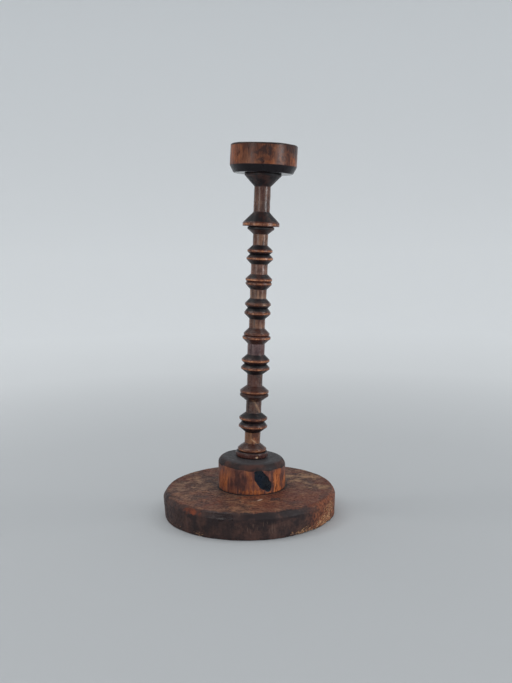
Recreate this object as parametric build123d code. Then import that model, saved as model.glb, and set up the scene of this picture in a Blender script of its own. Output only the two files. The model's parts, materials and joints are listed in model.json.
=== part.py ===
from build123d import *
from collections import namedtuple
import math
import os

os.makedirs("parts", exist_ok=True)

# A turned wooden candlestick: a round board with a pedestal block screwed to it, a stem of reels
# threaded on one dowel like cotton reels, and a shallow cup with a candle socket on top.
# Millimetres. The origin is the centre of the board's underside, with +Z up and +Y to the back.
# The stem is not quite upright: it stands square on the pedestal's top face, which slants.

# Base board
BASE_THICKNESS = 21.3
BASE_RADIUS = 72.4  # widest, just under the eased top edge
BASE_FOOT_TAPER = 0.9  # how much narrower the board is at its underside
BASE_EDGE_RUN = 2.7  # eased top edge, inwards
BASE_EDGE_DROP = 4.4  # eased top edge, downwards
BASE_EDGE_ROUND = 2.4
BASE_FOOT_ROUND = 0.8

# Pedestal block, a short drum set a little off the board's centre
BLOCK_X = 2.3
BLOCK_Y = 4.0
BLOCK_RADIUS = 28.3
BLOCK_HEIGHT = 25.8  # along the stem's axis
BLOCK_EDGE_ROUND = 6.2

# Stem axis
LEAN_DEG = 3.15  # from upright, towards +X
STEM_X = 0.9  # where the axis meets the board's top face
STEM_Y = BLOCK_Y

# Dowel through the stem
DOWEL_RADIUS = 3.175
DOWEL_CLEARANCE = 0.075
DOWEL_END_CHAMFER = 0.6
DOWEL_GLUE_GAP = 0.5  # left above its upper end, inside the cup
BLOCK_SOCKET_DEPTH = 18.4

# Foot ring between the block and the lowest reel
RING_RADIUS = 13.4
RING_THICKNESS = 5.0
RING_EDGE_ROUND = 1.5

# Stem reels, from the bottom up. Each has a flat end and a bevelled end, and they alternate, so
# flat ends meet in a thin slit and bevelled ends meet in a V groove.
Reel = namedtuple("Reel", "length flat_rim bevel_rim shaft inner_bevel outer_bevel")
REELS = [
    Reel(24.8, 12.10, 12.00, 6.60, 4.4, 2.8),
    Reel(24.5, 11.95, 11.85, 6.50, 4.2, 2.5),
    Reel(24.6, 12.05, 12.00, 6.50, 4.2, 2.7),
    Reel(23.8, 11.75, 11.65, 7.20, 4.2, 2.6),
    Reel(23.1, 10.70, 10.90, 6.65, 4.0, 3.4),
    Reel(21.9, 10.85, 10.80, 6.90, 4.0, 2.6),
    Reel(22.2, 11.00, 11.00, 6.90, 3.9, 2.6),
    Reel(23.0, 11.00, 10.40, 6.20, 3.9, 2.3),
]
RIM_LAND = 1.4
FLAT_END_CHAMFER = 0.9
OUTER_BEVEL_DROP = 2.6
RIM_ROUND = 0.35
NECK_ROUND = 0.8

# Top reel, longer and wider than the others
TOP_LENGTH = 42.5
TOP_RIM_RADIUS = 15.1
TOP_SHAFT_RADIUS = 6.75
TOP_LOWER_LAND = 2.8
TOP_UPPER_LAND = 1.6
TOP_BEVEL = 8.7
TOP_RIM_ROUND = 0.5
TOP_NECK_ROUND = 1.5

# Candle cup
CUP_RADIUS = 27.25
CUP_HEIGHT = 22.8
CUP_FOOT_RUN = 3.0  # bevel round its underside, inwards
CUP_FOOT_RISE = 5.8
CUP_RIM_ROUND = 1.1
DRIP_RADIUS = 22.0
DRIP_DEPTH = 5.0
DRIP_FLOOR_ROUND = 2.0
CANDLE_RADIUS = 11.1  # a 22 mm candle with room to go in
CANDLE_SOCKET_DEPTH = 9.0  # below the drip recess
CUP_WEB = 2.3  # wood left between the candle and the dowel

# Wood screws, driven up through the board into the block
SCREW_COUNT = 3
SCREW_CIRCLE_RADIUS = 17.5
SCREW_LENGTH = 32.0
SCREW_SHANK_RADIUS = 2.1
SCREW_ROOT_RADIUS = 1.5
SCREW_THREAD_LENGTH = 17.0
SCREW_PITCH = 2.1
SCREW_TIP_LENGTH = 3.0
SCREW_HEAD_RADIUS = 4.1
SCREW_HEAD_CONE = 2.3
SCREW_HEAD_LIP = 0.4
SCREW_RECESS = 1.0  # how far the head sits above the board's underside
SCREW_CLEARANCE = 0.06
SLOT_WIDTH = 1.1
SLOT_DEPTH = 1.1

BORE_RADIUS = DOWEL_RADIUS + DOWEL_CLEARANCE
CUP_SOCKET_DEPTH = CUP_HEIGHT - DRIP_DEPTH - CANDLE_SOCKET_DEPTH - CUP_WEB
CUT = 200.0  # larger than anything it trims
STEM = Location((STEM_X, STEM_Y, BASE_THICKNESS), (0, LEAN_DEG, 0))


def turned(outline, rounds):
    """Solid turned about Z from (radius, height) points; rounds maps a point's number to a radius."""
    face = make_face(Polyline(*[(r, 0, z) for r, z in outline], close=True))
    for number, radius in rounds.items():
        r, z = outline[number]
        corner = face.vertices().sort_by_distance((r, 0, z))[0]
        face = fillet(corner, radius)
    return revolve(face, Axis.Z)


def drilled(bottom, depth, radius):
    """Drill along Z, from bottom upwards."""
    return Pos(0, 0, bottom) * Cylinder(radius, depth, align=(Align.CENTER, Align.CENTER, Align.MIN))


def on_stem(height):
    """Place at a height along the stem, measured from the board's top face."""
    return STEM * Pos(0, 0, height)


def screw_places():
    """Screw axes, at the board's underside."""
    for number in range(SCREW_COUNT):
        angle = math.radians(90 + number * 360 / SCREW_COUNT)
        x = BLOCK_X + SCREW_CIRCLE_RADIUS * math.cos(angle)
        y = BLOCK_Y + SCREW_CIRCLE_RADIUS * math.sin(angle)
        yield Pos(x, y, 0)


def screw_envelope(clearance):
    """Head, shank and thread crests of a screw, or with a clearance the hole that it needs."""
    head = SCREW_HEAD_RADIUS + clearance
    shank = SCREW_SHANK_RADIUS + clearance
    seat = SCREW_RECESS + SCREW_HEAD_LIP
    top = SCREW_RECESS + SCREW_LENGTH + clearance
    below = SCREW_RECESS if clearance == 0 else -1.0
    outline = [
        (0, below),
        (head, below),
        (head, seat),
        (shank, seat + SCREW_HEAD_CONE),
        (shank, top - SCREW_TIP_LENGTH),
        (0, top),
    ]
    return turned(outline, {})


def base_screw():
    body = screw_envelope(0)
    thread_top = SCREW_RECESS + SCREW_LENGTH - SCREW_TIP_LENGTH
    groove_width = SCREW_PITCH * 0.7
    for number in range(int(SCREW_THREAD_LENGTH / SCREW_PITCH)):
        middle = thread_top - (number + 0.5) * SCREW_PITCH
        groove = [
            (SCREW_ROOT_RADIUS, middle - groove_width / 4),
            (SCREW_SHANK_RADIUS + 1, middle - groove_width),
            (SCREW_SHANK_RADIUS + 1, middle + groove_width),
            (SCREW_ROOT_RADIUS, middle + groove_width / 4),
        ]
        body -= turned(groove, {})
    slot = Box(CUT, SLOT_WIDTH, 2 * SLOT_DEPTH)
    return body - Pos(0, 0, SCREW_RECESS) * slot


def base_disc():
    foot_radius = BASE_RADIUS - BASE_FOOT_TAPER
    outline = [
        (0, 0),
        (foot_radius, 0),
        (BASE_RADIUS, BASE_THICKNESS - BASE_EDGE_DROP),
        (BASE_RADIUS - BASE_EDGE_RUN, BASE_THICKNESS),
        (0, BASE_THICKNESS),
    ]
    board = turned(outline, {1: BASE_FOOT_ROUND, 2: BASE_EDGE_ROUND, 3: BASE_EDGE_ROUND})
    for place in screw_places():
        board -= place * screw_envelope(SCREW_CLEARANCE)
    return board


def pedestal_block():
    foot = Pos(BLOCK_X, BLOCK_Y, BASE_THICKNESS)
    drum = foot * Cylinder(BLOCK_RADIUS, CUT, align=(Align.CENTER, Align.CENTER, Align.MIN))
    drum -= on_stem(BLOCK_HEIGHT) * Box(CUT, CUT, 2 * CUT, align=(Align.CENTER, Align.CENTER, Align.MIN))
    top_edge = drum.edges().sort_by(Axis.Z)[-1]
    drum = fillet(top_edge, BLOCK_EDGE_ROUND)
    drum -= on_stem(0) * drilled(BLOCK_HEIGHT - BLOCK_SOCKET_DEPTH, CUT, BORE_RADIUS)
    for place in screw_places():
        drum -= place * screw_envelope(SCREW_CLEARANCE)
    return drum


def foot_ring():
    outline = [
        (BORE_RADIUS, 0),
        (RING_RADIUS, 0),
        (RING_RADIUS, RING_THICKNESS),
        (BORE_RADIUS, RING_THICKNESS),
    ]
    return turned(outline, {1: RING_EDGE_ROUND, 2: RING_EDGE_ROUND})


def stem_reel(size):
    """One reel, with its flat end down."""
    flat_land = FLAT_END_CHAMFER + RIM_LAND
    bevel_land = size.length - size.outer_bevel - RIM_LAND
    outline = [
        (BORE_RADIUS, 0),
        (size.flat_rim - FLAT_END_CHAMFER, 0),
        (size.flat_rim, FLAT_END_CHAMFER),
        (size.flat_rim, flat_land),
        (size.shaft, flat_land + size.inner_bevel),
        (size.shaft, bevel_land - size.inner_bevel),
        (size.bevel_rim, bevel_land),
        (size.bevel_rim, bevel_land + RIM_LAND),
        (size.bevel_rim - OUTER_BEVEL_DROP, size.length),
        (BORE_RADIUS, size.length),
    ]
    rims = dict.fromkeys((2, 3, 6, 7), RIM_ROUND)
    necks = dict.fromkeys((4, 5), NECK_ROUND)
    return turned(outline, rims | necks)


def top_reel():
    lower_neck = TOP_LOWER_LAND + TOP_BEVEL
    upper_land = TOP_LENGTH - TOP_UPPER_LAND
    outline = [
        (BORE_RADIUS, 0),
        (TOP_RIM_RADIUS, 0),
        (TOP_RIM_RADIUS, TOP_LOWER_LAND),
        (TOP_SHAFT_RADIUS, lower_neck),
        (TOP_SHAFT_RADIUS, upper_land - TOP_BEVEL),
        (TOP_RIM_RADIUS, upper_land),
        (TOP_RIM_RADIUS, TOP_LENGTH),
        (BORE_RADIUS, TOP_LENGTH),
    ]
    rims = dict.fromkeys((1, 2, 5, 6), TOP_RIM_ROUND)
    necks = dict.fromkeys((3, 4), TOP_NECK_ROUND)
    return turned(outline, rims | necks)


def candle_cup():
    drip_floor = CUP_HEIGHT - DRIP_DEPTH
    socket_floor = drip_floor - CANDLE_SOCKET_DEPTH
    outline = [
        (0, 0),
        (CUP_RADIUS - CUP_FOOT_RUN, 0),
        (CUP_RADIUS, CUP_FOOT_RISE),
        (CUP_RADIUS, CUP_HEIGHT),
        (DRIP_RADIUS, CUP_HEIGHT),
        (DRIP_RADIUS, drip_floor),
        (CANDLE_RADIUS, drip_floor),
        (CANDLE_RADIUS, socket_floor),
        (0, socket_floor),
    ]
    cup = turned(outline, {3: CUP_RIM_ROUND, 4: CUP_RIM_ROUND, 5: DRIP_FLOOR_ROUND})
    return cup - drilled(-1, CUP_SOCKET_DEPTH + 1, BORE_RADIUS)


def stem_dowel(length):
    radius = DOWEL_RADIUS
    chamfer = DOWEL_END_CHAMFER
    outline = [
        (0, 0),
        (radius - chamfer, 0),
        (radius, chamfer),
        (radius, length - chamfer),
        (radius - chamfer, length),
        (0, length),
    ]
    return turned(outline, {})


def candlestick():
    """Every sub-part in its place, by node name."""
    nodes = {"base_disc": base_disc(), "pedestal_block": pedestal_block()}
    nodes["base_screws"] = Compound(children=[place * base_screw() for place in screw_places()])
    nodes["foot_ring"] = on_stem(BLOCK_HEIGHT) * foot_ring()
    height = BLOCK_HEIGHT + RING_THICKNESS
    for number, size in enumerate(REELS, start=1):
        flat_end_up = number % 2 == 0
        if flat_end_up:
            place = on_stem(height + size.length) * Rot(180, 0, 0)
        else:
            place = on_stem(height)
        nodes[f"reel_{number}"] = place * stem_reel(size)
        height += size.length
    nodes["top_reel"] = on_stem(height) * top_reel()
    height += TOP_LENGTH
    nodes["candle_cup"] = on_stem(height) * candle_cup()
    dowel_bottom = BLOCK_HEIGHT - BLOCK_SOCKET_DEPTH
    dowel_top = height + CUP_SOCKET_DEPTH - DOWEL_GLUE_GAP
    nodes["stem_dowel"] = on_stem(dowel_bottom) * stem_dowel(dowel_top - dowel_bottom)
    return nodes


for name, solid in candlestick().items():
    export_step(solid, f"parts/{name}.step")
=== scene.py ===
import json
import math
from collections import namedtuple

import bmesh
import bpy
import numpy as np
from mathutils import Matrix, Vector


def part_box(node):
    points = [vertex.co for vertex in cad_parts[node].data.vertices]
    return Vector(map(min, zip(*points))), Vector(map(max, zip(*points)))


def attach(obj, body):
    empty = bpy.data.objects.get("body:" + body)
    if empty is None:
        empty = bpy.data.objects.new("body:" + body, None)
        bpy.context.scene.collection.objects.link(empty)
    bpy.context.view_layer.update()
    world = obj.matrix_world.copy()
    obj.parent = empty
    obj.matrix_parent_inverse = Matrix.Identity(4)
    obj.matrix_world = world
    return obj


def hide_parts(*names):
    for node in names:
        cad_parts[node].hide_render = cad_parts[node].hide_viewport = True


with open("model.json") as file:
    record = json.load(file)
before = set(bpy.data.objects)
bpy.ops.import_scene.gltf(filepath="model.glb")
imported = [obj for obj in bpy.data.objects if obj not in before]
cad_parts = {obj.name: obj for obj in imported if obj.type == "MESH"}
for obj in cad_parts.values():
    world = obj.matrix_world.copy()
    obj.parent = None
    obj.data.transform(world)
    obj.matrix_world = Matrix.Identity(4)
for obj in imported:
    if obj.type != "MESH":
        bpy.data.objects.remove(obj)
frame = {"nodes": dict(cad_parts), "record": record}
NODES = frame["nodes"]
MOUNTS = {mount["name"]: mount for mount in frame["record"]["mounts"]}
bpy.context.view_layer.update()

MM = 0.001
WELD = 1e-7  # points of a CAD mesh nearer than this, in metres, are one point
ON_PLANE = 1e-8  # a point this near to a cutting plane is on it
ON_AXIS = 1e-6  # a turned outline this near to its axis ends in a single point
SECTION_AZIMUTH = 0.35  # where outlines are cut, in radians, clear of the CAD meshes' seams
HIDDEN_STEPS = 8  # how much coarser a mesh is inside a bore, where nothing shows
EDGE_REACH = 1.3 * MM  # how far an outline is smoothed to find its edges and creases
SHARPEST = 0.22 * MM  # an edge that stands this far out of its smoothed outline is fully convex

# ---------------------------------------------------------------- places

BOARD_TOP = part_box("base_disc")[1].z
BLOCK_LOW, BLOCK_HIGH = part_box("pedestal_block")
BLOCK_RADIUS = (BLOCK_HIGH.x - BLOCK_LOW.x) / 2
BLOCK_CENTRE = (BLOCK_LOW + BLOCK_HIGH) / 2
STEM_AXIS = Vector(MOUNTS["candle_socket"]["axis"]).normalized()


def stem_place():
    """The stem's own frame: its origin is where the axis meets the board's top, its Z is the axis."""
    socket = Vector(MOUNTS["candle_socket"]["pos_m"])
    foot = socket - STEM_AXIS * ((socket.z - BOARD_TOP) / STEM_AXIS.z)
    return Matrix.Translation(foot) @ Vector((0, 0, 1)).rotation_difference(STEM_AXIS).to_matrix().to_4x4()


def block_place():
    """The pedestal block's own frame: upright, on the board's top face."""
    return Matrix.Translation((BLOCK_CENTRE.x, BLOCK_CENTRE.y, BOARD_TOP))


STEM = stem_place()
BLOCK = block_place()
BOARD = Matrix.Identity(4)

# ---------------------------------------------------------------- outlines of the CAD pieces


def section(node, place, azimuth):
    """The node's outline, cut by a half-plane, as a chain of (radius, height), and whether it is closed."""
    mesh = bmesh.new()
    mesh.from_mesh(NODES[node].data)
    mesh.transform(Matrix.Rotation(-azimuth, 4, "Z") @ place.inverted())
    bmesh.ops.remove_doubles(mesh, verts=mesh.verts, dist=WELD)
    through_axis = {"dist": ON_PLANE, "plane_co": (0, 0, 0), "clear_inner": True}
    everything = list(mesh.verts) + list(mesh.edges) + list(mesh.faces)
    bmesh.ops.bisect_plane(mesh, geom=everything, plane_no=(0, 1, 0), clear_outer=True, **through_axis)
    everything = list(mesh.verts) + list(mesh.edges)
    bmesh.ops.bisect_plane(mesh, geom=everything, plane_no=(1, 0, 0), **through_axis)
    ends = [v for v in mesh.verts if len(v.link_edges) == 1]
    vert = ends[0] if ends else mesh.verts[:][0]
    chain, came = [vert], None
    while True:
        onward = [e for e in vert.link_edges if e is not came]
        if not onward:
            break
        came = onward[0]
        vert = came.other_vert(vert)
        if vert is chain[0]:
            break
        chain.append(vert)
    points = np.array([(v.co.x, v.co.z) for v in chain])
    mesh.free()
    return points, not ends


def outward(points):
    """The same chain, run so that its left-hand side is inside the wood."""
    ring = np.vstack([points, points[:1]])
    area = np.sum(ring[:-1, 0] * ring[1:, 1] - ring[1:, 0] * ring[:-1, 1])
    return points if area > 0 else points[::-1]


def evenly(points, closed, step, bore):
    """More points along the chain, step apart, and far apart inside the bore, where nothing shows."""
    ring = np.vstack([points, points[:1]]) if closed else points
    out = []
    for a, b in zip(ring[:-1], ring[1:]):
        hidden = max(a[0], b[0]) < bore * 1.05 and abs(a[0] - b[0]) < 0.1 * MM
        count = max(1, math.ceil(np.linalg.norm(b - a) / (HIDDEN_STEPS * step if hidden else step)))
        for i in range(count):
            out.append(a + (b - a) * i / count)
    if not closed:
        out.append(ring[-1])
    return np.array(out)


def smoothed(points, closed, reach):
    """The chain averaged over a distance of about reach, with its ends held."""
    out = points.copy()
    steps = np.linalg.norm(np.diff(points, axis=0), axis=1).mean()
    for _ in range(max(1, round((reach / steps) ** 2 * 2))):
        before, after = np.roll(out, 1, axis=0), np.roll(out, -1, axis=0)
        mean = (before + 2 * out + after) / 4
        if not closed:
            mean[0], mean[-1] = out[0], out[-1]
        out = mean
    return out


def chain_normals(points, closed):
    """Outward normals of a chain whose inside is on its left."""
    along = np.roll(points, -1, axis=0) - np.roll(points, 1, axis=0)
    if not closed:
        along[0], along[-1] = points[1] - points[0], points[-1] - points[-2]
    along /= np.maximum(np.linalg.norm(along, axis=1, keepdims=True), 1e-12)
    return np.stack([along[:, 1], -along[:, 0]], axis=1)


# ---------------------------------------------------------------- lathe


class Turned:
    """A piece turned on a lathe from its CAD outline, as arrays that can be worn and painted."""

    def __init__(self, node, place, step, segments, ease, azimuth=SECTION_AZIMUTH):
        self.node, self.place, self.segments = node, place, segments
        points, self.closed = section(node, place, azimuth)
        points = outward(points)
        bore = points[:, 0].min() if self.closed else 0.0
        points = evenly(points, self.closed, step, bore)
        crisp = smoothed(points, self.closed, ease)
        soft = smoothed(points, self.closed, EDGE_REACH)
        normals = chain_normals(crisp, self.closed)
        bulge = np.sum((crisp - soft) * normals, axis=1)
        self.chain, self.normals, self.bulge = crisp, normals, bulge
        self.layout()

    def layout(self):
        """Rings of points round the axis, with one point where the chain ends on the axis."""
        count = len(self.chain)
        turn = np.arange(self.segments) * 2 * math.pi / self.segments
        rings, self.vertex_chain, self.vertex_turn = [], [], []
        start = 0
        for i in range(count):
            pole = self.chain[i, 0] < ON_AXIS
            size = 1 if pole else self.segments
            rings.append(np.arange(start, start + size))
            self.vertex_chain += [i] * size
            self.vertex_turn += [0.0] if pole else list(turn)
            start += size
        self.faces = []
        pairs = zip(rings, rings[1:] + rings[:1]) if self.closed else zip(rings, rings[1:])
        for low, high in pairs:
            if len(low) == 1 and len(high) == 1:
                continue
            for j in range(self.segments):
                k = (j + 1) % self.segments
                if len(low) == 1:
                    self.faces.append((low[0], high[k], high[j]))
                elif len(high) == 1:
                    self.faces.append((low[j], low[k], high[0]))
                else:
                    self.faces.append((low[j], low[k], high[k], high[j]))
        self.vertex_chain = np.array(self.vertex_chain)
        self.vertex_turn = np.array(self.vertex_turn)
        self.radius = self.chain[self.vertex_chain, 0]
        self.height = self.chain[self.vertex_chain, 1]
        self.convex = np.clip(self.bulge[self.vertex_chain] / SHARPEST, -1, 1)
        flat = self.normals[self.vertex_chain]
        self.upright = np.abs(flat[:, 0])
        self.facing_up = flat[:, 1]
        self.degrees = (np.degrees(self.vertex_turn) - 90) % 360 - 180
        cos, sin = np.cos(self.vertex_turn), np.sin(self.vertex_turn)
        self.normal = np.stack([flat[:, 0] * cos, flat[:, 0] * sin, flat[:, 1]], axis=1)
        self.points = np.stack([self.radius * cos, self.radius * sin, self.height], axis=1)

    def push(self, depth):
        """Move each point outwards by depth, in metres."""
        self.points = self.points + self.normal * depth[:, None]

    def build(self, name, material, slot, **paint):
        """The finished object, riding on the frame in place of its CAD node."""
        mesh = bpy.data.meshes.new(name)
        mesh.from_pydata(self.points.tolist(), [], [tuple(int(v) for v in face) for face in self.faces])
        mesh.polygons.foreach_set("use_smooth", [True] * len(mesh.polygons))
        for key, values in paint.items():
            layer = mesh.attributes.new(key, "FLOAT", "POINT")
            layer.data.foreach_set("value", np.clip(values, 0, 1).astype(np.float32))
        mesh.materials.append(material)
        piece = bpy.data.objects.new(name, mesh)
        bpy.context.scene.collection.objects.link(piece)
        piece.matrix_world = self.place
        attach(piece, "root")
        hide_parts(self.node)
        return piece


def lumps(points, size, seed, waves=14):
    """Smooth random height from -1 to 1 over 3-D points, with features about as large as size."""
    rng = np.random.default_rng(seed)
    directions = rng.normal(size=(waves, 3))
    directions /= np.linalg.norm(directions, axis=1, keepdims=True)
    lengths = size * rng.uniform(0.7, 1.6, waves)
    phases = rng.uniform(0, 2 * math.pi, waves)
    total = np.sin(points @ (directions * (2 * math.pi / lengths)[:, None]).T + phases).sum(axis=1)
    return np.clip(total / math.sqrt(waves * 1.5), -1, 1)


def rise(values, low, high):
    """Smooth step from 0 at low to 1 at high."""
    t = np.clip((values - low) / (high - low), 0, 1)
    return t * t * (3 - 2 * t)


def ragged(piece, size, seed):
    """Uneven edges for a patch: a random shift in how far a point counts as being from its middle."""
    return 0.22 * lumps(piece.points, size, seed) + 0.12 * lumps(piece.points, size / 3, seed + 1)


def side_patch(piece, degrees, height, half_width, half_height, seed, soft=0.5):
    """1 in the middle of a patch on a turned side, 0 outside; degrees from the front to the right."""
    across = ((piece.degrees - degrees + 180) % 360 - 180) / half_width
    up = (piece.height - height) / half_height
    away = np.hypot(across, up) + ragged(piece, half_height, seed)
    return 1 - rise(away, soft, 1.0)


def top_patch(piece, x, y, half_x, half_y, seed, soft=0.5):
    """1 in the middle of a patch on an upward face, 0 outside."""
    away = np.hypot((piece.points[:, 0] - x) / half_x, (piece.points[:, 1] - y) / half_y)
    away = away + ragged(piece, max(half_x, half_y), seed)
    return (1 - rise(away, soft, 1.0)) * rise(piece.facing_up, 0.2, 0.6)


# a patch on a side has its middle at degrees round from the front and height up, half_width is in
# degrees too, and all the other lengths are in millimetres; soft is where its edge starts to fade
SidePatch = namedtuple("SidePatch", "strength degrees height half_width half_height seed soft")
TopPatch = namedtuple("TopPatch", "strength x y half_x half_y seed soft")


def side_patches(piece, patches, base=0.0):
    """The strongest of several side patches at each point, with their heights over base."""
    total = np.zeros_like(piece.radius)
    for strength, degrees, height, half_width, half_height, seed, soft in patches:
        patch = side_patch(piece, degrees, base + height * MM, half_width, half_height * MM, seed, soft)
        total = np.maximum(total, strength * patch)
    return total


def top_patches(piece, patches):
    """The strongest of several top patches at each point."""
    total = np.zeros_like(piece.radius)
    for strength, x, y, half_x, half_y, seed, soft in patches:
        patch = top_patch(piece, x * MM, y * MM, half_x * MM, half_y * MM, seed, soft)
        total = np.maximum(total, strength * patch)
    return total


def near_rim(piece):
    """1 on a turned piece's widest part, 0 from 2 mm inside it."""
    widest = piece.radius.max()
    return rise(piece.radius, widest - 2 * MM, widest - 1 * MM)


# ---------------------------------------------------------------- materials


def srgb(red, green, blue):
    """A display colour of 0 to 255 as the linear RGBA that a shader takes."""
    channels = [c / 255 for c in (red, green, blue)]
    return tuple(c / 12.92 if c < 0.04045 else ((c + 0.055) / 1.055) ** 2.4 for c in channels) + (1.0,)


class Finish:
    """A material being built, with short names for the shader nodes it is made of."""

    def __init__(self, name, roughness=0.5, specular=0.5):
        self.material = bpy.data.materials.new(name)
        self.material.use_nodes = True
        self.tree = self.material.node_tree
        self.shader = self.tree.nodes["Principled BSDF"]
        self.shader.inputs["Roughness"].default_value = roughness
        self.shader.inputs["Specular IOR Level"].default_value = specular
        self.space = self.tree.nodes.new("ShaderNodeTexCoord").outputs["Object"]

    def add(self, kind, inputs, **settings):
        node = self.tree.nodes.new(kind)
        for key, value in settings.items():
            setattr(node, key, value)
        for key, value in inputs.items():
            if isinstance(value, bpy.types.NodeSocket):
                self.tree.links.new(value, node.inputs[key])
            else:
                node.inputs[key].default_value = value
        return node

    def place(self, scale=(1, 1, 1), offset=(0, 0, 0), turn=(0, 0, 0)):
        inputs = {"Vector": self.space, "Scale": scale, "Location": offset, "Rotation": turn}
        return self.add("ShaderNodeMapping", inputs).outputs[0]

    def noise(self, vector, scale, detail=4.0, roughness=0.55, distortion=0.0):
        inputs = {"Vector": vector, "Scale": scale, "Detail": detail, "Roughness": roughness}
        inputs["Distortion"] = distortion
        return self.add("ShaderNodeTexNoise", inputs).outputs[0]

    def step(self, value, low, high, start=0.0, end=1.0):
        inputs = {"Value": value, "From Min": low, "From Max": high, "To Min": start, "To Max": end}
        return self.add("ShaderNodeMapRange", inputs, interpolation_type="SMOOTHSTEP").outputs[0]

    def math(self, operation, a, b=0.0):
        return self.add("ShaderNodeMath", {0: a, 1: b}, operation=operation, use_clamp=True).outputs[0]

    def weighed(self, a, share_a, b, share_b):
        """Two values added up by their shares."""
        return self.math("ADD", self.math("MULTIPLY", a, share_a), self.math("MULTIPLY", b, share_b))

    def frayed(self, name, noise, low, high, less, more):
        """A painted attribute with noise between less and more added to it, so that its edge is uneven."""
        return self.math("ADD", self.paint(name), self.step(noise, low, high, less, more))

    def mix(self, amount, a, b):
        return self.add("ShaderNodeMix", {0: amount, 6: a, 7: b}, data_type="RGBA").outputs[2]

    def ramp(self, value, stops):
        node = self.add("ShaderNodeValToRGB", {"Fac": value})
        elements = node.color_ramp.elements
        while len(elements) < len(stops):
            elements.new(0.5)
        for element, (position, colour) in zip(elements, stops):
            element.position = position
            element.color = colour
        return node.outputs[0]

    def paint(self, name):
        return self.add("ShaderNodeAttribute", {}, attribute_name=name).outputs["Fac"]

    def done(self, colour, roughness=None, height=None, depth=0.0):
        self.tree.links.new(colour, self.shader.inputs["Base Color"])
        if roughness is not None:
            self.tree.links.new(roughness, self.shader.inputs["Roughness"])
        if height is not None:
            bump = self.add("ShaderNodeBump", {"Height": height, "Distance": depth, "Strength": 1.0})
            self.tree.links.new(bump.outputs[0], self.shader.inputs["Normal"])
        return self.material


# ---------------------------------------------------------------- stage, lights and camera

CAMERA_PLACE = (7.4 * MM, -707 * MM, 236 * MM)
CAMERA_PITCH = 7.32  # degrees below the horizon
CAMERA_ROLL = 0.87  # degrees clockwise, seen from behind
CAMERA_LENS = 45.33
SENSOR_WIDTH = 36

FLOOR_PAINT = (0.48, 0.50, 0.52, 1.0)
WALL_PAINT = (0.70, 0.72, 0.74, 1.0)
PAINT_CHANGES = (0.3, 1.5)  # metres from the object, from all floor paint to all wall paint
STAGE_GLOW = [(0.0, 0.04), (0.1, 0.08), (0.25, 0.20), (0.42, 0.215), (0.6, 0.205), (0.8, 0.10)]
GLOW_REACH = 3.0  # metres from the object to the end of the glow's ramp

SKY_COLOUR = (0.93, 0.97, 1.0, 1.0)
SKY_STRENGTH = 0.40
LAMPS_AIM = (0, 0, 0.16)
WARM_WHITE = (1.0, 0.97, 0.93)
SOFT_WHITE = (1.0, 0.98, 0.95)
COOL_WHITE = (0.95, 0.98, 1.0)
Lamp = namedtuple("Lamp", "name place width height power colour")
HIGH_LAMPS = (
    Lamp("overhead", (-0.2, 0.1, 1.7), 1.2, 1.2, 5.5, SOFT_WHITE),
    Lamp("left_lamp", (-0.95, 0.0, 1.35), 0.45, 0.45, 3.2, WARM_WHITE),
    Lamp("right_lamp", (0.95, 0.0, 1.35), 0.45, 0.45, 2.7, WARM_WHITE),
)
WINDOWS = (
    Lamp("left_window", (-0.9, -1.05, 0.45), 0.22, 0.84, 3.5, WARM_WHITE),
    Lamp("right_window", (1.17, -0.7, 0.45), 0.34, 0.84, 8.8, COOL_WHITE),
)


def camera():
    data = bpy.data.cameras.new("camera")
    data.sensor_width = SENSOR_WIDTH
    data.lens = CAMERA_LENS
    piece = bpy.data.objects.new("camera", data)
    bpy.context.scene.collection.objects.link(piece)
    tilt = Matrix.Rotation(math.radians(90 - CAMERA_PITCH), 4, "X")
    roll = Matrix.Rotation(math.radians(-CAMERA_ROLL), 4, "Z")
    piece.matrix_world = Matrix.Translation(CAMERA_PLACE) @ tilt @ roll
    bpy.context.scene.camera = piece


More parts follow.
